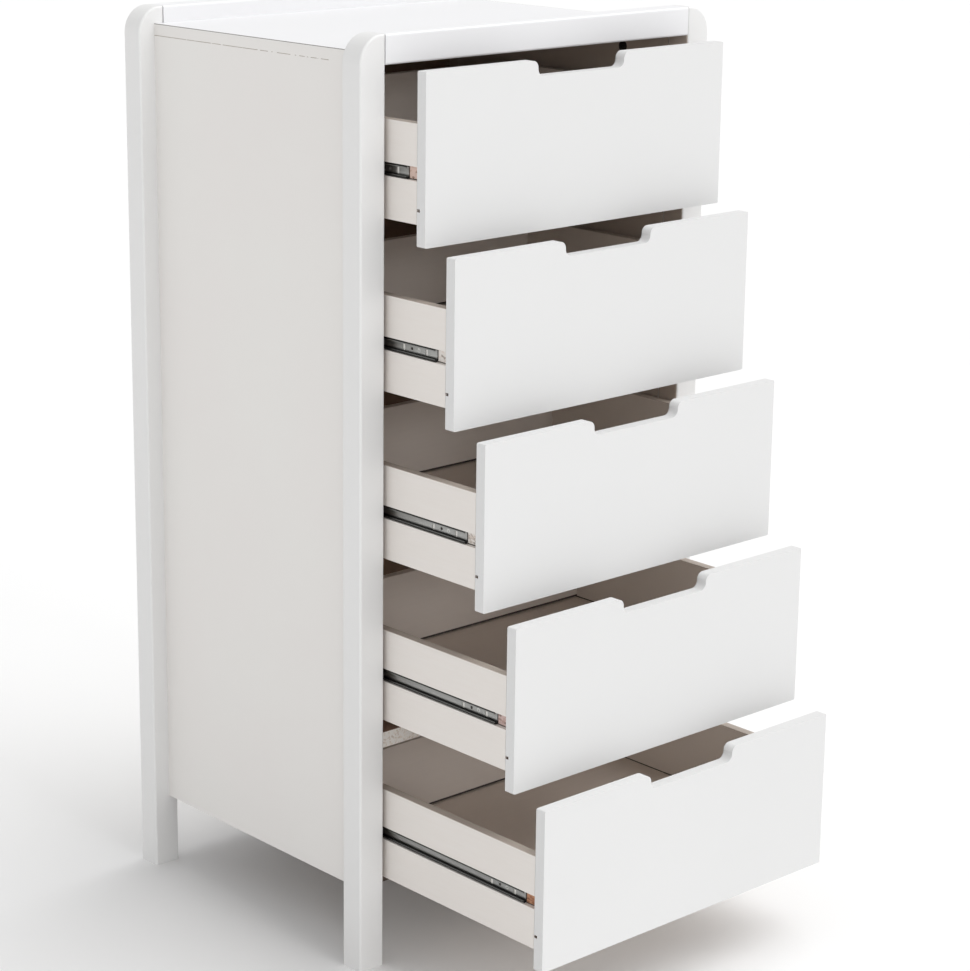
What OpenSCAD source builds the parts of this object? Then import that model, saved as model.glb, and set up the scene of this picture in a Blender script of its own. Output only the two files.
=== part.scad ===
// Tall chest of five drawers on ball-bearing groove runners.
// X runs across the front, Y towards the back, Z up from the floor.
// The origin is on the floor, in the middle of the ground that the chest
// covers with its drawers standing open as set below.

/* [Carcass] */
// Width over the posts
width = 600; // [520:1:760]
// Depth over the posts
depth = 480; // [465:1:560]
// Floor to the underside of the side panels
leg_h = 100; // [60:1:160]
// Width of a post, seen from the front
post_w = 39; // [36:0.5:48]
// Depth of a post, seen from the side
post_d = 35; // [32:0.5:38]
// Radius of the outer top corner of a post
post_top_r = 34; // [20:1:36]
// Rounding of the long edges of the posts and the top rails
post_edge_r = 3; // [1:0.5:4]
// Height of the two top rails
rail_h = 37; // [37:1:60]
// Drop from the top of the rails to the top panel
top_drop = 22; // [8:1:22]
// Thickness of the top panel
top_t = 15; // [12:0.5:15]
// Thickness of the side panels
side_panel_t = 15; // [15:0.5:22]
// Thickness of the back panel
back_panel_t = 3; // [2.5:0.5:6]
// How far the back panel reaches into its grooves
back_groove_d = 6; // [4:0.5:10]
// Back faces of the posts to the back panel
back_in = 12; // [8:0.5:12]

/* [Cross rails] */
// Thickness of the tie rail between the two lowest drawers
tie_t = 21; // [12:1:28]
// Middle of the gap between those two fronts to the middle of the tie rail
tie_drop = 3.5; // [0:0.5:6]
// Thickness of the rail under the lowest drawer
low_rail_t = 15; // [10:1:17]
// Front-to-back width of those two rails
cross_rail_w = 60; // [50:1:90]
// Faces of the posts to the rail under the lowest drawer
low_rail_in = 28; // [24:1:34]
// Thickness of the low back rail
back_rail_t = 15; // [12:1:18]
// Height of the low back rail
back_rail_h = 60; // [50:1:90]

/* [Drawer fronts] */
// Height of a drawer front
front_h = 210; // [200:1:260]
// Thickness of a drawer front
front_t = 15; // [12:0.5:20]
// Rounding of the corners of a drawer front
front_corner_r = 2; // [1:0.5:6]
// Gap between two fronts
front_gap = 4.5; // [2:0.5:8]
// Gap between the top rail and the first front
top_gap = 2; // [1:0.5:8]
// Gap at each end of a front, which is also the gap beside the drawer box
side_gap = 5; // [4:0.5:7]
// How far a closed front stands behind the faces of the posts
front_recess = 2; // [0:0.5:6]

/* [Finger notch] */
// Width of the notch between its walls
notch_w = 148; // [80:1:220]
// Depth of the notch
notch_h = 19; // [19:1:30]
// Radius of the notch's corners
notch_r = 9; // [4:0.5:9.5]

/* [Drawer boxes] */
// Height of a drawer side
box_h = 121; // [110:1:125]
// Top of a front to the top of its drawer sides
box_drop = 62; // [40:1:64]
// Length of a drawer side
box_len = 396; // [396:1:410]
// Thickness of the drawer sides
box_side_t = 12; // [12:0.5:15]
// Thickness of the drawer back
box_back_t = 12; // [9:0.5:16]
// Thickness of the drawer bottom
bottom_t = 3.5; // [3:0.5:6]
// Bottom edge of a drawer side to its bottom panel
bottom_up = 15.5; // [8:0.5:24]
// How far the bottom panel reaches into its grooves
bottom_in = 5; // [3:0.5:6]
// Bottom panel to the drawer back above it
back_lift = 1.5; // [0.5:0.5:4]
// Lowest drawer box to the underside of the side panels
floor_gap = 20; // [20:1:50]

/* [Runners] */
// Length of a runner
runner_len = 374; // [342:1:374]
// Height of the groove in the drawer side
groove_h = 17; // [17:0.5:20]
// Depth of the groove in the drawer side
groove_d = 6.5; // [6:0.5:7]
// Back of a front to the start of its runner
runner_in = 21; // [12:0.5:22]
// Travel of a drawer from shut to fully open
travel = 292; // [292:1:296]
// Thickness of the runner steel
steel_t = 1; // [0.8:0.1:1.2]
// Diameter of the balls
ball_d = 3; // [2.6:0.1:3.1]
// Balls in each row of a cage
ball_count = 6; // [3:1:7]
// Ends of a cage to the ends of the steel round it when the drawer is fully open
cage_stop = 4; // [1:0.5:6]
// Thickness of the cage strip
cage_t = 0.6; // [0.5:0.1:0.6]

/* [Drawers as they stand] */
// How far the first drawer stands open
open_1 = 69; // [0:0.5:292]
// How far the second drawer stands open
open_2 = 122.5; // [0:0.5:292]
// How far the third drawer stands open
open_3 = 178.5; // [0:0.5:292]
// How far the fourth drawer stands open
open_4 = 236; // [0:0.5:292]
// How far the fifth drawer stands open
open_5 = 291; // [0:0.5:292]

/* [Fixings] */
// Diameter of the wooden dowels
dowel_d = 8; // [6:0.5:8]
// Length of the wooden dowels
dowel_l = 30; // [25:1:35]
// Diameter of the cam discs
cam_d = 15; // [12:0.5:15]
// Depth of the cam discs
cam_h = 12.5; // [11:0.5:13]
// Panel edge to the middle of its cam disc
cam_edge = 24; // [20:1:34]
// Post to the first cam disc under the top panel
cam_from_post = 83; // [60:1:120]
// Underside of the side panels to their lowest cam disc
cam_rise = 34; // [28:1:40]
// Cam disc to the dowel above it
dowel_rise = 32; // [24:1:40]
// Diameter of the connecting bolts
bolt_d = 6; // [5:0.5:7]
// How far a bolt is screwed into the next piece
bolt_in = 11; // [8:0.5:11]
// Diameter of the pins between a front and its drawer sides
pin_d = 5; // [4:0.5:6]
// How far a pin reaches into the front and into the side
pin_in = 9; // [7:0.5:9]
// Thread diameter of the runner screws
screw_d = 3; // [2.5:0.1:3.5]
// Head diameter of the runner screws
screw_head_d = 5.4; // [4.5:0.1:5.5]
// Length of the screws through the channels into the drawer sides
channel_screw_l = 5; // [4:0.5:5.5]
// Length of the screws through the rails into the side panels
rail_screw_l = 12; // [9:0.5:12]
// Thread diameter of the screws through the sides into the drawer back
back_screw_d = 4; // [3:0.5:4.5]
// Head diameter of those screws
back_screw_head_d = 7; // [6:0.5:8]
// Length of those screws
back_screw_l = 34; // [25:1:40]
// Bottom edge of a drawer side to its lower screw and pin
screw_rise = 34; // [28:1:38]
// Top edge of a drawer side to its upper screw and pin
screw_drop = 22; // [16:1:28]

/* [Hidden] */
$fn = 48;
drawers = 5;
opening = [open_1, open_2, open_3, open_4, open_5];

// clearances
fit = 0.2;           // loose pieces in their holes and grooves
groove_fit = 0.3;    // runner steel to the groove above and below it
ball_fit = 0.2;      // balls to their races
cage_fit = 0.3;      // cage to the steel on both sides of it
board_fit = 0.5;     // board ends to the faces that they are pinned or dowelled to

// heights, worked up from the floor
pitch = front_h + front_gap;
height = leg_h + floor_gap + box_h + box_drop + (drawers - 1) * pitch + top_gap + rail_h;
panel_top = height - top_drop - top_t;
function front_top(n) = height - rail_h - top_gap - (n - 1) * pitch;
function box_bottom(n) = front_top(n) - box_drop - box_h;
function runner_z(n) = box_bottom(n) + box_h / 2;

// places across and along the chest
x_in = width / 2 - post_w;
front_w = 2 * (x_in - side_gap);
box_in = front_w / 2 - box_side_t;
y_front = (max(0, max(opening) - front_recess) - depth) / 2;
y_back = y_front + depth;
y_panel = y_front + post_d;
panel_len = depth - 2 * post_d;
function face_y(n) = y_front + front_recess - opening[n - 1];
function box_y(n) = face_y(n) + front_t;

// runner profile: a is the distance from the carcass wall, b the height
runner_room = side_gap + groove_d;
race_r = ball_d / 2 + ball_fit;
race_out = race_r + steel_t;
channel_h = groove_h - 2 * groove_fit;
ball_a = runner_room - race_out;
ball_b = channel_h / 2 - race_out;
lip_in = 0.6;
rail_reach = runner_room - steel_t - 2 * cage_fit - cage_t;
rail_wall_b = ball_b - race_r;
ridge_b = rail_wall_b + 0.4;
cage_half = race_r - cage_fit;
y_runner = y_front + front_recess + front_t + runner_in;
cage_len = runner_len - travel - 2 * cage_stop;
y_cage = y_runner + travel / 2 + cage_stop;
cage_end = 6;
ball_step = (cage_len - 2 * cage_end) / (ball_count - 1);
slot_w = 4.5;
slot_h = 9;
slot_spots = [19.5, 61];
hole_spot = 46;
hole_d = 4;
screw_spot = 33.5;
cross_l = 3;
cross_w = 0.8;
cross_deep = 0.9;
rail_screw_spots = [37, 229];

// fixings: cam discs on the inner face of the left panel, and their bolts
cam_heights = [leg_h + cam_rise, front_top(4) + front_gap / 2, front_top(2) + front_gap / 2];
panel_mid_x = x_in + side_panel_t / 2;
cams = concat(
    [for (z = cam_heights) [y_panel + cam_edge, z, [0, -1, 0]]],
    [for (z = cam_heights) [y_panel + panel_len - cam_edge, z, [0, 1, 0]]],
    [for (y = [y_panel + cam_from_post, y_panel + panel_len - cam_from_post])
        [y, panel_top - cam_edge, [0, 0, 1]]]);
bolt_l = cam_edge + bolt_in;
cam_slot_l = 8;
cam_slot_w = 1.6;
cam_slot_d = 2;
along_x = [1, 0, 0];
along_y = [0, 1, 0];
stretcher_in = 5;    // dowels of the cross rails sit deeper in the rail
y_tie = y_front + front_recess + front_t + 0.5;
tie_z = front_top(drawers) + front_gap / 2 - tie_drop - tie_t / 2;
y_low_rail = y_front + low_rail_in;
y_back_panel = y_back - back_in - back_panel_t;
y_low_rail_end = y_low_rail + cross_rail_w;
dowels_at = concat(
    [for (y = [y_front + post_d / 2, y_back - post_d / 2], s = [-1, 1])
        [[-x_in, y + s * post_d / 4, height - rail_h / 2], along_x]],
    [for (z = cam_heights, y = [y_panel, y_panel + panel_len])
        [[-panel_mid_x, y, z + dowel_rise], along_y]],
    [for (y = [(y_tie + y_panel) / 2, (y_panel + y_tie + cross_rail_w) / 2])
        [[stretcher_in - x_in, y, tie_z + tie_t / 2], along_x]],
    [for (s = [1, 3])
        [[stretcher_in - x_in, y_panel + s * (y_low_rail_end - y_panel) / 4, leg_h + low_rail_t / 2],
         along_x]],
    [for (s = [1, 3])
        [[stretcher_in - x_in, y_back_panel - back_rail_t / 2, leg_h + s * back_rail_h / 4],
         along_x]],
    [for (x = [x_in / 3, x_in * 3 / 4], y = [y_panel, y_panel + panel_len])
        [[-x, y, panel_top + top_t / 2], along_y]]);

white = [0.93, 0.93, 0.93];
panel_white = [0.88, 0.87, 0.85];
box_cream = [0.86, 0.84, 0.81];
inside_greige = [0.62, 0.57, 0.52];
raw_board = [0.83, 0.8, 0.76];
zinc = [0.6, 0.61, 0.62];
brass_steel = [0.72, 0.66, 0.5];
dowel_wood = [0.84, 0.7, 0.5];

// ---------- helpers ----------

module both_sides() {
    children();
    mirror([1, 0, 0]) children();
}

// a rod of the given length with its middle at the origin, along the given axis
module rod(d, l, along) {
    turn = along.x != 0 ? [0, 90, 0] : along.y != 0 ? [90, 0, 0] : [0, 0, 0];
    rotate(turn) cylinder(d = d, h = l, center = true);
}

module rounded_square(w, h, r) {
    translate([r, 0]) square([w - 2 * r, h]);
    translate([0, r]) square([w, h - 2 * r]);
    for (x = [r, w - r], y = [r, h - r]) translate([x, y]) circle(r);
}

// lays an outline drawn in X and Z into place, with its thickness towards +Y
module upright(t) {
    translate([0, t, 0]) rotate([90, 0, 0]) linear_extrude(t) children();
}

// a runner profile drawn as (a, b), run along Y on the left wall
module left_runner_profile(n, y, l) {
    translate([-x_in, y + l, runner_z(n)]) rotate([90, 0, 0]) linear_extrude(l) children();
}

// ---------- fixings ----------

module dowel_rods(d, l) {
    both_sides() for (spot = dowels_at) translate(spot[0]) rod(d, l, spot[1]);
}

module cam_discs(d, h) {
    both_sides() for (cam = cams) translate([-x_in - h / 2, cam[0], cam[1]]) rod(d, h, along_x);
}

module cam_bolts(d, l) {
    both_sides() for (cam = cams)
        translate([-panel_mid_x, cam[0], cam[1]] + cam[2] * l / 2) rod(d, l, cam[2]);
}

// everything that is drilled into the carcass pieces
module carcass_holes() {
    dowel_rods(dowel_d + fit, dowel_l + 2);
    cam_discs(cam_d + fit, cam_h + fit);
    cam_bolts(bolt_d + fit, bolt_l + fit);
    both_sides() for (n = [1:drawers]) rail_screw_rods(n, screw_d + fit, rail_screw_l + fit);
}

module rail_screw_rods(n, d, l) {
    for (s = rail_screw_spots)
        translate([-x_in + steel_t - l / 2, y_runner + s, runner_z(n)]) rod(d, l, along_x);
}

module cam_fittings() {
    color(zinc) {
        difference() {
            cam_discs(cam_d, cam_h);
            cam_bolts(bolt_d + 2 * fit, bolt_l);
            both_sides() for (cam = cams)
                translate([-x_in, cam[0], cam[1]])
                    cube([2 * cam_slot_d, cam_slot_l, cam_slot_w], center = true);
        }
        cam_bolts(bolt_d, bolt_l);
    }
}

module dowels() {
    color(dowel_wood) dowel_rods(dowel_d, dowel_l);
}

// ---------- carcass ----------

module post_section() {
    rounded_square(post_w, post_d, post_edge_r);
}

// a bar along X with rounded long edges, its lowest corner at the origin
module rounded_bar(l, w, h) {
    rotate([90, 0, 90]) linear_extrude(l) rounded_square(w, h, post_edge_r);
}

// a post in the left front corner: its section runs up, round the outer top
// corner, and meets the end of the top rail
module post_blank() {
    bend_z = height - post_top_r;
    linear_extrude(bend_z) post_section();
    translate([post_top_r, post_d, bend_z]) rotate([90, 0, 0]) rotate([0, 0, 90])
        rotate_extrude(angle = 90) intersection() {
            translate([post_top_r, 0]) mirror([1, 0]) post_section();
            square([post_top_r, post_d]);
        }
    intersection() {
        translate([0, 0, bend_z]) linear_extrude(post_top_r) post_section();
        translate([post_top_r, 0, height - 2 * post_top_r])
            rounded_bar(post_w, post_d, 2 * post_top_r);
    }
}

module front_post() {
    difference() {
        translate([-width / 2, y_front, 0]) post_blank();
        carcass_holes();
    }
}

module back_post() {
    difference() {
        translate([-width / 2, y_back - post_d, 0]) post_blank();
        back_groove();
        carcass_holes();
    }
}

module front_left_post() {
    color(white) front_post();
}

module front_right_post() {
    color(white) mirror([1, 0, 0]) front_post();
}

module back_left_post() {
    color(white) back_post();
}

module back_right_post() {
    color(white) mirror([1, 0, 0]) back_post();
}

module top_rail_blank(y) {
    half = x_in - board_fit;
    translate([-half, y, height - rail_h]) rounded_bar(2 * half, post_d, rail_h);
}

module front_top_rail() {
    color(white) difference() {
        top_rail_blank(y_front);
        carcass_holes();
    }
}

module back_top_rail() {
    color(white) difference() {
        top_rail_blank(y_back - post_d);
        back_groove();
        carcass_holes();
    }
}

module top_panel() {
    half = x_in + side_panel_t;
    color(white) difference() {
        translate([-half, y_panel, panel_top]) cube([2 * half, panel_len, top_t]);
        carcass_holes();
    }
}

module side_panel() {
    difference() {
        translate([-x_in - side_panel_t, y_panel, leg_h])
            cube([side_panel_t, panel_len, panel_top - leg_h]);
        carcass_holes();
    }
}

module left_side_panel() {
    color(panel_white) side_panel();
}

module right_side_panel() {
    color(panel_white) mirror([1, 0, 0]) side_panel();
}

// the grooves in the back posts and the back top rail that hold the back panel
module back_groove() {
    half = x_in + back_groove_d;
    translate([-half, y_back_panel - fit, leg_h - fit])
        cube([2 * half, back_panel_t + 2 * fit, panel_top + back_groove_d - leg_h + fit]);
}

module back_panel() {
    half = x_in + back_groove_d - fit;
    color(panel_white) translate([-half, y_back_panel, leg_h])
        cube([2 * half, back_panel_t, panel_top + back_groove_d - fit - leg_h]);
}

module cross_rail(y, z, w, t) {
    color(raw_board) difference() {
        translate([-x_in, y, z]) cube([2 * x_in, w, t]);
        carcass_holes();
    }
}

module tie_rail() {
    cross_rail(y_tie, tie_z, cross_rail_w, tie_t);
}

module low_front_rail() {
    cross_rail(y_low_rail, leg_h, cross_rail_w, low_rail_t);
}

module low_back_rail() {
    cross_rail(y_back_panel - back_rail_t, leg_h, back_rail_t, back_rail_h);
}

// ---------- drawers ----------

// the cut-out, drawn with the top edge of the front on the X axis
module notch_outline() {
    half = notch_w / 2;
    translate([-half, notch_r - notch_h]) square([notch_w, notch_h]);
    translate([notch_r - half, -notch_h]) square([notch_w - 2 * notch_r, notch_h]);
    for (s = [-1, 1]) {
        translate([s * (half - notch_r), notch_r - notch_h]) circle(notch_r);
        difference() {
            translate([s * (half + notch_r / 2) - notch_r / 2, -notch_r]) square([notch_r, notch_r + 1]);
            translate([s * (half + notch_r), -notch_r]) circle(notch_r);
        }
    }
}

module drawer_front(n) {
    low = box_bottom(n) + bottom_up - fit / 2;
    color(white) difference() {
        translate([0, face_y(n), 0]) upright(front_t) difference() {
            translate([-front_w / 2, front_top(n) - front_h])
                rounded_square(front_w, front_h, front_corner_r);
            translate([0, front_top(n)]) notch_outline();
        }
        translate([-front_w / 2 - 1, box_y(n) - bottom_in - fit, low])
            cube([front_w + 2, bottom_in + fit + 1, bottom_t + fit]);
        front_pins(n, pin_d + fit, 2 * pin_in + fit);
    }
}

// the left side of drawer n, grooved outside for its runner and inside for the bottom
module drawer_side(n) {
    x = -front_w / 2;
    z = box_bottom(n);
    difference() {
        translate([x, box_y(n) + board_fit, z]) cube([box_side_t, box_len - board_fit, box_h]);
        translate([x - 1, box_y(n) - 1, runner_z(n) - groove_h / 2])
            cube([groove_d + 1, box_len + 2, groove_h]);
        translate([x + box_side_t - bottom_in - fit, box_y(n) - 1, z + bottom_up - fit / 2])
            cube([bottom_in + fit + 1, box_len + 2, bottom_t + fit]);
        channel_screws(n, fit);
        back_screws(n, fit);
        front_pins(n, pin_d + fit, 2 * pin_in + fit);
    }
}

module drawer_left_side(n) {
    color(box_cream) drawer_side(n);
}

module drawer_right_side(n) {
    color(box_cream) mirror([1, 0, 0]) drawer_side(n);
}

module drawer_back(n) {
    low = bottom_up + bottom_t + back_lift;
    color(inside_greige) difference() {
        translate([-box_in, box_y(n) + box_len - box_back_t, box_bottom(n) + low])
            cube([2 * box_in, box_back_t, box_h - low]);
        both_sides() back_screws(n, fit);
    }
}

module drawer_bottom(n) {
    half = box_in + bottom_in;
    color(inside_greige) translate([-half, box_y(n) - bottom_in, box_bottom(n) + bottom_up])
        cube([2 * half, box_len + bottom_in, bottom_t]);
}

// ---------- runners ----------

// countersunk screw along X, with the top of its head at the origin and its point at +X
module countersunk(d, head_d, l, grow) {
    rotate([0, 90, 0]) difference() {
        union() {
            cylinder(d = d + grow, h = l + grow);
            cylinder(d1 = head_d + grow, d2 = d + grow, h = (head_d - d) / 2);
        }
        if (grow == 0) for (turn = [0, 90])
            rotate(turn) cube([cross_l, cross_w, 2 * cross_deep], center = true);
    }
}

module channel_screws(n, grow) {
    for (s = [screw_spot, runner_len - screw_spot])
        translate([-x_in + runner_room - steel_t, y_runner - opening[n - 1] + s, runner_z(n)])
            countersunk(screw_d, screw_head_d, channel_screw_l, grow);
}

function screw_heights(n) = [box_bottom(n) + screw_rise, box_bottom(n) + box_h - screw_drop];

module back_screws(n, grow) {
    for (z = screw_heights(n))
        translate([-front_w / 2, box_y(n) + box_len - box_back_t / 2, z])
            countersunk(back_screw_d, back_screw_head_d, back_screw_l, grow);
}

// steel pins that hold each side against the front
module front_pins(n, d, l) {
    both_sides() for (z = screw_heights(n))
        translate([(box_side_t - front_w) / 2, box_y(n), z]) rod(d, l, along_y);
}

module drawer_screws(n) {
    color(zinc) {
        both_sides() {
            channel_screws(n, 0);
            back_screws(n, 0);
        }
        front_pins(n, pin_d, 2 * pin_in);
    }
}

// the drawer's half of the runner: a strip whose edges curl round the balls
module channel_outline() {
    half = channel_h / 2;
    translate([runner_room - steel_t, -ball_b]) square([steel_t, 2 * ball_b]);
    for (s = [-1, 1]) translate([ball_a, s * ball_b]) intersection() {
        difference() {
            circle(race_out);
            circle(race_r);
        }
        union() {
            translate([-race_out, s > 0 ? 0 : -race_out]) square([2 * race_out, race_out]);
            translate([-race_out, -lip_in]) square([race_out, 2 * lip_in]);
        }
    }
}

module drawer_channels(n) {
    y = y_runner - opening[n - 1];
    wall = -x_in + runner_room - steel_t / 2;
    color(zinc) both_sides() difference() {
        left_runner_profile(n, y, runner_len) channel_outline();
        for (s = slot_spots, end = [s, runner_len - s]) translate([wall, y + end, runner_z(n)]) {
            cube([2 * steel_t, slot_w, slot_h - slot_w], center = true);
            for (up = [-1, 1])
                translate([0, 0, up * (slot_h - slot_w) / 2]) rod(slot_w, 2 * steel_t, along_x);
        }
        for (end = [hole_spot, runner_len - hole_spot])
            translate([wall, y + end, runner_z(n)]) rod(hole_d, 2 * steel_t, along_x);
        channel_screws(n, fit);
    }
}

// the cabinet's half of the runner, which reaches into the channel
module rail_outline() {
    square_b = 2 * rail_wall_b;
    difference() {
        union() {
            translate([0, -rail_wall_b]) square([rail_reach, square_b]);
            translate([ball_a - race_r, -ridge_b]) square([rail_reach - ball_a + race_r, 2 * ridge_b]);
        }
        translate([steel_t, steel_t - rail_wall_b]) square([rail_reach, square_b - 2 * steel_t]);
        for (s = [-1, 1]) translate([ball_a, s * ball_b]) circle(race_r);
    }
}

module runner_rails(n) {
    color(zinc) both_sides() {
        difference() {
            left_runner_profile(n, y_runner, runner_len) rail_outline();
            rail_screws(n, fit);
        }
        rail_screws(n, 0);
    }
}

module rail_screws(n, grow) {
    for (s = rail_screw_spots) translate([steel_t - x_in, y_runner + s, runner_z(n)])
        mirror([1, 0, 0]) countersunk(screw_d, screw_head_d, rail_screw_l, grow);
}

// the strip that keeps two rows of balls apart, and the balls in it
module cage_outline() {
    back_a = ball_a + cage_half - cage_t;
    translate([back_a, -ball_b - cage_t / 2]) square([cage_t, 2 * ball_b + cage_t]);
    for (s = [-1, 1]) translate([ball_a - cage_half, s * ball_b - cage_t / 2])
        square([2 * cage_half, cage_t]);
}

module balls(n, d) {
    y = y_cage - opening[n - 1] / 2 + cage_end;
    for (k = [0:ball_count - 1], s = [-1, 1])
        translate([-x_in + ball_a, y + k * ball_step, runner_z(n) + s * ball_b]) sphere(d = d);
}

module runner_cages(n) {
    y = y_cage - opening[n - 1] / 2;
    color(brass_steel) both_sides() {
        difference() {
            left_runner_profile(n, y, cage_len) cage_outline();
            balls(n, ball_d + fit);
        }
        balls(n, ball_d);
    }
}

front_left_post();
front_right_post();
back_left_post();
back_right_post();
front_top_rail();
back_top_rail();
top_panel();
left_side_panel();
right_side_panel();
back_panel();
tie_rail();
low_front_rail();
low_back_rail();
cam_fittings();
dowels();
for (n = [1:drawers]) {
    drawer_front(n);
    drawer_left_side(n);
    drawer_right_side(n);
    drawer_back(n);
    drawer_bottom(n);
    drawer_channels(n);
    drawer_screws(n);
    runner_cages(n);
    runner_rails(n);
}
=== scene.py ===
import math
import bpy
from mathutils import Matrix, Vector


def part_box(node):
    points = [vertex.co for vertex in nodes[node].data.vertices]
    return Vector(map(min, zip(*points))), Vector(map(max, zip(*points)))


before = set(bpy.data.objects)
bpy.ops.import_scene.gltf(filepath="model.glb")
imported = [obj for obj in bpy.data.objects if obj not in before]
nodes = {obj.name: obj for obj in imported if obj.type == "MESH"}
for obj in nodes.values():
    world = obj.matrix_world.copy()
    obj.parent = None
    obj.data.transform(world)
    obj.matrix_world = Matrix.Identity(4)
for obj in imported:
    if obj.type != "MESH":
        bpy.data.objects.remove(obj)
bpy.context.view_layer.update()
drawers = range(1, 1 + sum(name.endswith("_front") for name in nodes))
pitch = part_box("drawer_1_front")[0].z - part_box("drawer_2_front")[0].z  # from one drawer to the next below
print("frame loaded with", len(nodes), "nodes and", len(drawers), "drawers")


class Value:  # a socket that can be used in sums
    def __init__(self, finish, socket):
        self.finish = finish
        self.socket = socket

    def maths(self, operation, *values):
        return self.finish.node("ShaderNodeMath", {"operation": operation}, dict(enumerate(values)))

    def __add__(self, other):
        return self.maths("ADD", self, other)

    def __sub__(self, other):
        return self.maths("SUBTRACT", self, other)

    def __rsub__(self, other):
        return self.maths("SUBTRACT", other, self)

    def __mul__(self, other):
        return self.maths("MULTIPLY", self, other)

    def __truediv__(self, other):
        return self.maths("DIVIDE", self, other)

    def __rtruediv__(self, other):
        return self.maths("DIVIDE", other, self)

    def __mod__(self, other):
        return self.maths("FLOORED_MODULO", self, other)

    def __rmod__(self, other):
        return self.maths("FLOORED_MODULO", other, self)

    def __pow__(self, other):
        return self.maths("POWER", self, other)

    def __rpow__(self, other):
        return self.maths("POWER", other, self)

    def __gt__(self, other):
        return self.maths("GREATER_THAN", self, other)

    def __lt__(self, other):
        return self.maths("LESS_THAN", self, other)

    def __abs__(self):
        return self.maths("ABSOLUTE", self)

    __radd__ = __add__
    __rmul__ = __mul__


class Finish:  # a material, or the world, and the nodes that are added to it
    def __init__(self, name, kind="materials", shader="Principled BSDF", place="Object"):
        self.owner = getattr(bpy.data, kind).new(name)
        self.owner.use_nodes = True
        self.tree = self.owner.node_tree
        self.shader = self.tree.nodes[shader]
        self.place = self.node("ShaderNodeTexCoord", output=place)

    def node(self, kind, settings=None, sockets=None, output=0):
        made = self.tree.nodes.new(kind)
        for name, setting in (settings or {}).items():
            if name == "stops":  # of a colour ramp, from its low end to its high one
                self.setStops(made.color_ramp, setting)
            else:
                setattr(made, name, setting)
        for name, value in (sockets or {}).items():
            self.feed(made.inputs[name], value)
        return Value(self, made.outputs[output])

    def setStops(self, ramp, stops):
        first, *middle, last = stops
        for position, colour in middle:
            ramp.elements.new(position).color = (*colour, 1)
        for element, (position, colour) in ((ramp.elements[0], first), (ramp.elements[-1], last)):
            element.position = position
            element.color = (*colour, 1)

    def feed(self, socket, value):
        if isinstance(value, Value):
            self.tree.links.new(value.socket, socket)
        else:
            socket.default_value = value

    def ramp(self, stops, value):
        return self.node("ShaderNodeValToRGB", {"stops": stops}, {0: value})

    def stretched(self, x, y, z):  # the object's own coordinates times x, y and z
        return self.node("ShaderNodeVectorMath", {"operation": "MULTIPLY"}, {0: self.place, 1: (x, y, z)})

    def along(self, axis):
        return self.node("ShaderNodeSeparateXYZ", None, {0: self.place}, output=axis)

    def noise(self, scale, detail=2, stretch=(1, 1, 1)):
        return self.node("ShaderNodeTexNoise", None,
                         {"Vector": self.stretched(*stretch), "Scale": scale, "Detail": detail})

    def blend(self, mask, first, second, how="MIX"):  # colours: first where the mask is 0
        pick = [colour if isinstance(colour, Value) else (*colour, 1) for colour in (first, second)]
        return self.node("ShaderNodeMix", {"data_type": "RGBA", "blend_type": how},
                         {0: mask, 6: pick[0], 7: pick[1]}, output=2)  # a Mix node's sockets for colours

    def bump(self, height, depth):
        return self.node("ShaderNodeBump", None, {"Height": height, "Distance": depth})

    def finished(self, **sockets):  # baseColor=... feeds the shader's Base Color
        for name, value in sockets.items():
            words = "".join(" " + letter if letter.isupper() else letter for letter in name)
            self.feed(self.shader.inputs[words.title()], value)
        return self.owner


def toned(colour, share):  # a share under 1 is darker
    return [channel * share for channel in colour]


def uneven(mean, swing, texture):  # a number that a texture moves up and down by half the swing
    return mean + swing * (texture - 0.5)


def onEachDrawer(finish, low, high):  # 1 between two heights of drawer 1, and likewise on the others
    return ((finish.along("Z") - low) % pitch) < (high - low)


def dress(names, material):
    for name in names:
        piece = nodes[name]
        piece.data.materials.clear()
        piece.data.materials.append(material)


# lengths are in metres, and a scale is how fine a noise is
# the posts, top and fronts are one white paint in three tones: the fronts are painted darker and the top
# rails and top panel lighter, painted shade and painted light for how much light reaches each
paint = {"posts": (0.762, 0.76, 0.755), "top": (0.8, 0.8, 0.812), "fronts": (0.695, 0.695, 0.693),
         "cloud": 0.97, "cloudScale": 3.5, "peel": 0.00002, "peelScale": 650,
         "roughness": 0.42, "spots": 0.08, "spotScale": 40}


def sprayed(finish, colour):  # a white that is a little darker in wide, soft clouds
    return finish.blend(finish.noise(paint["cloudScale"], detail=3), colour, toned(colour, paint["cloud"]))


innerShade = {"colour": (0.56, 0.48, 0.42), "skin": 0.0007}


# painted shade: the faces towards the drawers are painted taupe for the shade inside the chest
def innerFaceShade(finish, outside, piece):  # the faces towards the drawers are taupe
    low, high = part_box("right_side_panel")
    inside = abs(finish.along("X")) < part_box(piece)[0].x + innerShade["skin"]
    height = finish.along("Z")
    return finish.blend(inside * (height > low.z) * (height < high.z), outside, innerShade["colour"])


def satinPaint(name, colour, piece=None):  # sprayed white with a faint peel
    finish = Finish(name)
    white = sprayed(finish, colour)
    return finish.finished(
        baseColor=innerFaceShade(finish, white, piece) if piece else white,
        roughness=uneven(paint["roughness"], paint["spots"], finish.noise(paint["spotScale"], detail=3)),
        normal=finish.bump(finish.noise(paint["peelScale"]), paint["peel"]))


posts = [f"{place}_post" for place in ("front_left", "front_right", "back_left", "back_right")]
dress(posts, satinPaint("post_paint", paint["posts"], "front_right_post"))
dress(["front_top_rail", "back_top_rail"], satinPaint("top_rail_paint", paint["top"]))


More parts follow.
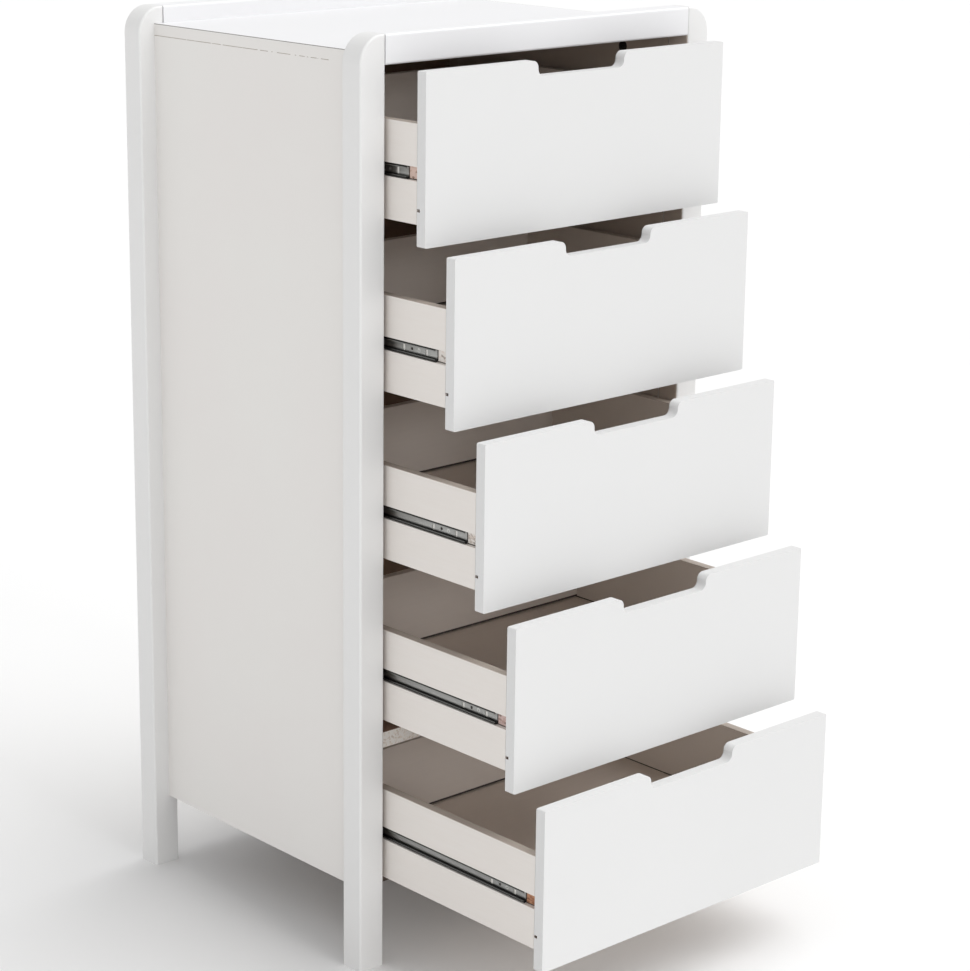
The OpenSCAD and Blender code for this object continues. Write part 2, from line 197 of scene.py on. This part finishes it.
sidePanel = {"colour": (0.775, 0.765, 0.74), "shade": (0.765, 0.735, 0.715), "cloudScale": 6,
             "roughness": 0.5, "uneven": 0.1, "duller": 0.3,
             "grain": 0.00002, "grainScale": 500, "grainStretch": (1, 1, 0.25),
             "seam": 0.0007, "core": (0.3, 0.24, 0.2), "wear": 0.62, "wearScale": 90, "moreAtBack": 0.35}


def panelFoil():  # smooth foil, with a thin broken line of bare board at the top edge
    finish = Finish("side_panel_foil")
    grain = finish.noise(sidePanel["grainScale"], detail=3, stretch=sidePanel["grainStretch"])
    low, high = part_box("left_side_panel")
    nearTop = finish.along("Z") > high.z - sidePanel["seam"]
    backwards = (finish.along("Y") - low.y) / (high.y - low.y)
    patches = finish.noise(sidePanel["wearScale"], detail=3) + backwards * sidePanel["moreAtBack"]
    worn = nearTop * (patches > sidePanel["wear"])
    foil = finish.blend(finish.noise(sidePanel["cloudScale"]), sidePanel["colour"], sidePanel["shade"])
    return finish.finished(
        baseColor=finish.blend(worn, innerFaceShade(finish, foil, "right_side_panel"), sidePanel["core"]),
        roughness=uneven(sidePanel["roughness"], sidePanel["uneven"], grain) + sidePanel["duller"] * worn,
        normal=finish.bump(grain, sidePanel["grain"]))


dress(["left_side_panel", "right_side_panel"], panelFoil())


topBand = {"skin": 0.0003, "line": 0.0009, "glue": (0.26, 0.25, 0.24), "duller": 0.08}


def topPaint():  # painted on top, with a foil band at its two ends and a thin line of glue over each
    finish = Finish("top_panel_paint")
    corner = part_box("top_panel")[1]
    across = abs(finish.along("X"))
    band = across > corner.x - topBand["skin"]
    line = (across > corner.x - topBand["line"]) * (finish.along("Z") > corner.z - topBand["line"])
    cloud = finish.noise(paint["cloudScale"], detail=3)
    foil = finish.blend(cloud, sidePanel["colour"], sidePanel["shade"])
    banded = finish.blend(band, sprayed(finish, paint["top"]), foil)
    return finish.finished(
        baseColor=finish.blend(line, banded, topBand["glue"]),
        roughness=paint["roughness"] + topBand["duller"] * band,
        normal=finish.bump(finish.noise(paint["peelScale"]), paint["peel"]))


dress(["top_panel"], topPaint())


frontGroove = {"core": (0.2, 0.13, 0.08), "duller": 0.4, "fibre": 0.0001, "fibreScale": 700,
               "play": 0.0006, "skin": 0.0003, "facing": -0.5}


def frontPaint():  # sprayed white, with the brown core of the board inside the groove for the bottom
    finish = Finish("drawer_front_paint")
    low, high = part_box("drawer_1_bottom")
    inside = onEachDrawer(finish, low.z - frontGroove["play"], high.z + frontGroove["play"])
    normal = finish.node("ShaderNodeNewGeometry", output="Normal")
    facing = finish.node("ShaderNodeSeparateXYZ", None, {0: normal}, output="Y")  # -1 on the front's face
    betweenEnds = abs(finish.along("X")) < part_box("drawer_1_front")[1].x - frontGroove["skin"]
    cut = inside * (facing > frontGroove["facing"]) * betweenEnds
    fibre = finish.noise(frontGroove["fibreScale"], detail=4) * cut * frontGroove["fibre"]
    return finish.finished(
        baseColor=finish.blend(cut, sprayed(finish, paint["fronts"]), frontGroove["core"]),
        roughness=paint["roughness"] + frontGroove["duller"] * cut,
        normal=finish.bump(finish.noise(paint["peelScale"]) * paint["peel"] + fibre, 1))


dress([f"drawer_{n}_front" for n in drawers], frontPaint())


flakes = {"scale": 420, "stretch": (1, 0.6, 1), "fineScale": 900, "fineShare": 0.25,
          "stops": (0.12, 0.3, 0.45, 0.85)}  # where the tone is dark, tan, pale and pale again


def chips(finish, pale, tan, dark):  # the flakes of a particle board's cut face: their colour, and a height
    cell = finish.node("ShaderNodeTexVoronoi", {"feature": "F1"}, {
        "Vector": finish.stretched(*flakes["stretch"]), "Scale": flakes["scale"]}, output="Color")
    pick = finish.node("ShaderNodeSeparateColor", None, {0: cell})
    fine = finish.noise(flakes["fineScale"], detail=4)
    tone = pick * (1 - flakes["fineShare"]) + fine * flakes["fineShare"]
    return finish.ramp(list(zip(flakes["stops"], (dark, tan, pale, pale))), tone), tone


drawerSide = {"outside": (0.775, 0.74, 0.705), "streak": (0.75, 0.705, 0.665), "edge": (0.47, 0.41, 0.36),
              "inside": (0.82, 0.745, 0.68), "roughness": 0.55, "skin": 0.0004,
              "grain": 0.00003, "grainScale": 260, "grainStretch": (1, 0.08, 1),
              "bare": (0.86, 0.84, 0.8), "dark": (0.05, 0.04, 0.035), "darkFlakes": 0.5,
              "flakeDepth": 0.0002, "duller": 0.35, "play": 0.0003, "cover": 0.001, "line": 0.0008,
              "joint": 0.0016, "holeSpot": 0.046, "holeRadius": 0.0025}

# the bare board that shows in the runner groove in front of each channel: pale and tan flakes
groovePink = ((0.7, 0.53, 0.46), (0.56, 0.38, 0.3))
groovePale = ((0.76, 0.72, 0.68), (0.66, 0.58, 0.52))
grooveRose = ((0.6, 0.45, 0.42), (0.48, 0.33, 0.29))
grooveRust = ((0.5, 0.26, 0.15), (0.4, 0.18, 0.1))


def grooveBoard(finish, n, pale, tan):  # raw board in front of the channel and under it
    board, tone = chips(finish, pale, tan, toned(tan, drawerSide["darkFlakes"]))
    low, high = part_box(f"drawer_{n}_channels")
    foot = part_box("drawer_1_channels")[0].z
    fromStart = finish.along("Y") - low.y
    fromHole = (fromStart - drawerSide["holeSpot"]) ** 2 + (finish.along("Z") - (low.z + high.z) / 2) ** 2
    board = finish.blend(fromStart > drawerSide["cover"], board, drawerSide["bare"])  # seen through the slots
    # painted shade on top of it: a dark spare hole, a dark line along the groove's foot and one where the
    # channel starts, for the shade in the hole and along these edges
    for mask in (fromHole < drawerSide["holeRadius"] ** 2,
                 onEachDrawer(finish, foot - drawerSide["play"], foot + drawerSide["line"]),
                 abs(fromStart) < drawerSide["line"]):
        board = finish.blend(mask, board, drawerSide["dark"])
    return board, tone


def wrappedBoard(n, pale, tan):  # foil outside, raw particle board in the runner groove
    finish = Finish(f"drawer_{n}_side_foil")
    low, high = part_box("drawer_1_right_side")
    grooveLow, grooveHigh = (corner.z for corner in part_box("drawer_1_channels"))
    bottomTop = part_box("drawer_1_bottom")[1].z
    skin = drawerSide["skin"]
    across = abs(finish.along("X"))
    inBoard = (across > low.x + skin) * (across < high.x - skin)
    raw = onEachDrawer(finish, grooveLow - drawerSide["play"], grooveHigh + drawerSide["play"]) * inBoard
    board, tone = grooveBoard(finish, n, pale, tan)
    streak = finish.noise(drawerSide["grainScale"], detail=3, stretch=drawerSide["grainStretch"])
    # painted shadow: a near-black line along the gap over the bottom board
    joint = onEachDrawer(finish, bottomTop, bottomTop + drawerSide["joint"])  # over the bottom board
    inside = finish.blend(joint, drawerSide["inside"], drawerSide["dark"])
    foil = finish.blend(streak, drawerSide["outside"], drawerSide["streak"])
    # the inner faces are a warmer, lighter copy of the same foil: painted light and warm painted shade for
    # the inside of the drawers
    foil = finish.blend(across < low.x + skin, foil, inside)
    # painted shade: the top edges of the sides are painted dark for the shade that falls on them inside the
    # chest
    foil = finish.blend(onEachDrawer(finish, high.z - skin, high.z + skin), foil, drawerSide["edge"])
    relief = streak * (1 - raw) * drawerSide["grain"] + tone * raw * drawerSide["flakeDepth"]
    return finish.finished(
        baseColor=finish.blend(raw, foil, board),
        roughness=drawerSide["roughness"] + drawerSide["duller"] * raw,
        normal=finish.bump(relief, 1))


for n, groove in zip(drawers, (groovePink, groovePale, groovePale, grooveRose, grooveRust)):
    dress([f"drawer_{n}_left_side", f"drawer_{n}_right_side"], wrappedBoard(n, *groove))


insideFoil = {"back": (0.88, 0.81, 0.755), "bottom": (0.79, 0.7, 0.63), "streak": 0.95,
              "roughness": 0.55, "uneven": 0.08,
              "grain": 0.00003, "grainScale": 240, "grainStretch": (0.08, 1, 1),
              "below": 0.001, "above": 0.0022, "shadow": (0.06, 0.05, 0.045)}


def drawerInside(part):  # the back has a dark foot, where it stops short of the bottom
    finish = Finish(f"drawer_{part}_foil")
    streak = finish.noise(insideFoil["grainScale"], detail=3, stretch=insideFoil["grainStretch"])
    foil = finish.blend(streak, insideFoil[part], toned(insideFoil[part], insideFoil["streak"]))
    if part == "back":
        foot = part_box("drawer_1_back")[0].z
        dark = onEachDrawer(finish, foot - insideFoil["below"], foot + insideFoil["above"])
        foil = finish.blend(dark, foil, insideFoil["shadow"])
    return finish.finished(
        baseColor=foil,
        roughness=uneven(insideFoil["roughness"], insideFoil["uneven"], streak),
        normal=finish.bump(streak, insideFoil["grain"]))


for part in ("back", "bottom"):
    dress([f"drawer_{n}_{part}" for n in drawers], drawerInside(part))


rawRails = {"pale": (0.92, 0.89, 0.85), "tan": (0.88, 0.82, 0.75), "dark": (0.7, 0.62, 0.54),
            "top": (0.3, 0.19, 0.14), "low": (0.1, 0.075, 0.06), "skin": 0.0004,
            "roughness": 0.85, "uneven": 0.1, "flakeDepth": 0.0003}


def rawBoard():  # bare at the tie rail's edges, with a brown top face; the low rails are dark
    finish = Finish("raw_particle_board")
    board, tone = chips(finish, rawRails["pale"], rawRails["tan"], rawRails["dark"])
    low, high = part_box("tie_rail")
    height = finish.along("Z")
    # painted shade: the top face is dark brown for the shade under the drawer above
    board = finish.blend(height > high.z - rawRails["skin"], board, rawRails["top"])
    # painted shade: the low rails are near black for the shade under the chest
    board = finish.blend(height < low.z - rawRails["skin"], board, rawRails["low"])
    return finish.finished(
        baseColor=board,
        roughness=uneven(rawRails["roughness"], rawRails["uneven"], tone),
        normal=finish.bump(tone, rawRails["flakeDepth"]))


dress(["tie_rail", "low_front_rail", "low_back_rail"], rawBoard())


backBoard = {"outside": (0.62, 0.58, 0.53), "inside": (0.3, 0.2, 0.14), "fleck": 0.9, "skin": 0.0004,
             "roughness": 0.6, "uneven": 0.15, "duller": 0.2, "grain": 0.00004, "grainScale": 180}


def hardboard():  # greige outside, bare brown fibre on the face towards the drawers
    finish = Finish("back_panel_board")
    fibre = finish.noise(backBoard["grainScale"], detail=5)
    outside, inside = (finish.blend(fibre, backBoard[face], toned(backBoard[face], backBoard["fleck"]))
                       for face in ("outside", "inside"))
    bare = finish.along("Y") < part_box("back_panel")[0].y + backBoard["skin"]
    return finish.finished(
        baseColor=finish.blend(bare, outside, inside),
        roughness=uneven(backBoard["roughness"], backBoard["uneven"], fibre) + backBoard["duller"] * bare,
        normal=finish.bump(fibre, backBoard["grain"]))


dress(["back_panel"], hardboard())


metals = {"zinc": {"bright": (0.68, 0.68, 0.66), "dull": (0.52, 0.52, 0.5), "roughness": 0.38},
          "cam": {"bright": (0.09, 0.085, 0.08), "dull": (0.05, 0.045, 0.04), "roughness": 0.5},
          "cage": {"bright": (0.62, 0.57, 0.42), "dull": (0.5, 0.45, 0.32), "roughness": 0.3},
          "markDepth": 0.00001, "markScale": 900, "markStretch": (1, 0.02, 1), "markUneven": 0.1,
          "bloomScale": 60, "bloomUneven": 0.2}

# how light a channel is from its lower lip to its upper one: painted shade, dark in both races and lighter on
# the web
channelPaintedShade = [(0, 0.05), (0.1, 0.05), (0.2, 0.28), (0.34, 0.75),
                 (0.5, 0.62), (0.84, 0.5), (0.89, 0.06), (1, 0.06)]


def rolledSteel(name, metal, paintedShades=None):  # strip with fine marks along its length and a dull bloom
    finish = Finish(name)
    look = metals[metal]
    marks = finish.noise(metals["markScale"], detail=4, stretch=metals["markStretch"])
    bloom = finish.noise(metals["bloomScale"], detail=4)
    shade = finish.blend((marks + bloom) / 2, look["bright"], look["dull"])
    # painted shade across each channel, by height
    if paintedShades:
        low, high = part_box("drawer_1_channels")
        height = ((finish.along("Z") - low.z) % pitch) / (high.z - low.z)
        paintedShadeGreys = finish.ramp([(place, (grey, grey, grey)) for place, grey in paintedShades], height)
        shade = finish.blend(1, shade, paintedShadeGreys, "MULTIPLY")
    roughness = uneven(look["roughness"], metals["bloomUneven"], bloom)
    return finish.finished(
        baseColor=shade,
        metallic=1,
        roughness=uneven(roughness, metals["markUneven"], marks),
        normal=finish.bump(marks, metals["markDepth"]))


dress([f"drawer_{n}_screws" for n in drawers] + [f"runner_{n}_rails" for n in drawers],
      rolledSteel("zinc_steel", "zinc"))
# painted shade: the cam fittings are near black for the shade in the holes they sit in
dress(["cam_fittings"], rolledSteel("cam_metal", "cam"))
dress([f"drawer_{n}_channels" for n in drawers], rolledSteel("channel_steel", "zinc", channelPaintedShade))
dress([f"runner_{n}_cages" for n in drawers], rolledSteel("cage_strip", "cage"))


dowel = {"light": (0.62, 0.44, 0.28), "dark": (0.5, 0.33, 0.19), "roughness": 0.7, "uneven": 0.1,
         "grain": 0.0001, "grainScale": 300, "grainStretch": (0.15, 1, 1)}


def beech():
    finish = Finish("beech_dowel")
    grain = finish.noise(dowel["grainScale"], detail=5, stretch=dowel["grainStretch"])
    return finish.finished(
        baseColor=finish.blend(grain, dowel["light"], dowel["dark"]),
        roughness=uneven(dowel["roughness"], dowel["uneven"], grain),
        normal=finish.bump(grain, dowel["grain"]))


dress(["dowels"], beech())
print("finishes made:", len(bpy.data.materials))


edges = {"rails": 0.0006, "panels": 0.0006, "fronts": 0.003, "sides": 0.0004, "segments": 3, "leastTurn": 40}


def soften(names, width):  # a small bevel, which stays inside the piece's own outline
    for name in names:
        bevel = nodes[name].modifiers.new("soft_edges", "BEVEL")
        bevel.width = width
        bevel.segments = edges["segments"]
        bevel.limit_method = "ANGLE"
        bevel.angle_limit = math.radians(edges["leastTurn"])
        bevel.miter_outer = "MITER_ARC"
        bevel.harden_normals = True


soften([f"drawer_{n}_front" for n in drawers], edges["fronts"])
soften(["top_panel", "left_side_panel", "right_side_panel"], edges["panels"])
soften(["front_top_rail", "back_top_rail"], edges["rails"])
soften([f"drawer_{n}_{side}_side" for n in drawers for side in ("left", "right")], edges["sides"])
print("edges softened")


floorLook = {"colour": (0.86, 0.86, 0.86), "cloud": 0.985, "cloudScale": 0.7, "roughness": 0.8, "width": 200}


def makeFloor():
    half = floorLook["width"] / 2
    corners = [(-half, -half, 0), (half, -half, 0), (half, half, 0), (-half, half, 0)]
    mesh = bpy.data.meshes.new("studio_floor")
    mesh.from_pydata(corners, [], [(0, 1, 2, 3)])
    floor = bpy.data.objects.new("studio_floor", mesh)
    bpy.context.scene.collection.objects.link(floor)
    finish = Finish("studio_floor")
    cloud = finish.noise(floorLook["cloudScale"])
    pale = finish.blend(cloud, floorLook["colour"], toned(floorLook["colour"], floorLook["cloud"]))
    mesh.materials.append(finish.finished(baseColor=pale, roughness=floorLook["roughness"]))


# angles in degrees: turn goes from straight ahead of the drawers to the right, height from the floor up
lights = {"key": {"power": 1.8, "spread": 60, "turn": 60, "height": 60},
          "front": {"power": 0.36, "spread": 14, "turn": 0, "height": 18},
          "fill": {"power": 0.22, "spread": 20, "turn": -38, "height": 20},
          "distance": 4}


def makeLight(name):  # a far, wide light
    look = lights[name]
    light = bpy.data.lights.new(name + "_light", "SUN")
    light.energy = look["power"]
    light.angle = math.radians(look["spread"])
    lamp = bpy.data.objects.new(name + "_light", light)
    bpy.context.scene.collection.objects.link(lamp)
    turn, height = math.radians(look["turn"]), math.radians(look["height"])
    level = math.cos(height)
    towards = Vector((math.sin(turn) * level, -math.cos(turn) * level, math.sin(height)))
    lamp.location = towards * lights["distance"]
    lamp.rotation_euler = towards.to_track_quat("Z", "Y").to_euler()


surround = {"horizon": 1.0, "overhead": 0.6, "overheadFrom": 0.6}


def makeWorld():  # soft light from all round, whiter low down than overhead
    world = Finish("studio_world", "worlds", "Background", "Generated")
    low, high = ([surround[part]] * 3 for part in ("horizon", "overhead"))
    stops = [(0, low), (surround["overheadFrom"], high)]
    bpy.context.scene.world = world.finished(color=world.ramp(stops, world.along("Z")))


makeFloor()
for name in ("key", "front", "fill"):
    makeLight(name)
makeWorld()
bpy.context.scene.view_settings.view_transform = "Standard"

camera = {"place": (-2.3234, -2.4928, 1.5355), "turn": 40.78, "down": 14.88, "roll": 0.17,
          "lens": 98.58, "sensor": 36, "shift": (0.1, -0.04), "reach": 200}


def makeCamera():  # turn is to the right of straight ahead, down is below level
    data = bpy.data.cameras.new("camera")
    data.lens = camera["lens"]
    data.sensor_width = camera["sensor"]
    data.shift_x, data.shift_y = camera["shift"]
    data.clip_end = camera["reach"]
    eye = bpy.data.objects.new("camera", data)
    bpy.context.scene.collection.objects.link(eye)
    turn = Matrix.Rotation(math.radians(-camera["turn"]), 4, "Z")
    tilt = Matrix.Rotation(math.radians(90 - camera["down"]), 4, "X")
    roll = Matrix.Rotation(math.radians(camera["roll"]), 4, "Z")
    eye.matrix_world = Matrix.Translation(camera["place"]) @ turn @ tilt @ roll
    bpy.context.scene.camera = eye


makeCamera()
print("studio ready")
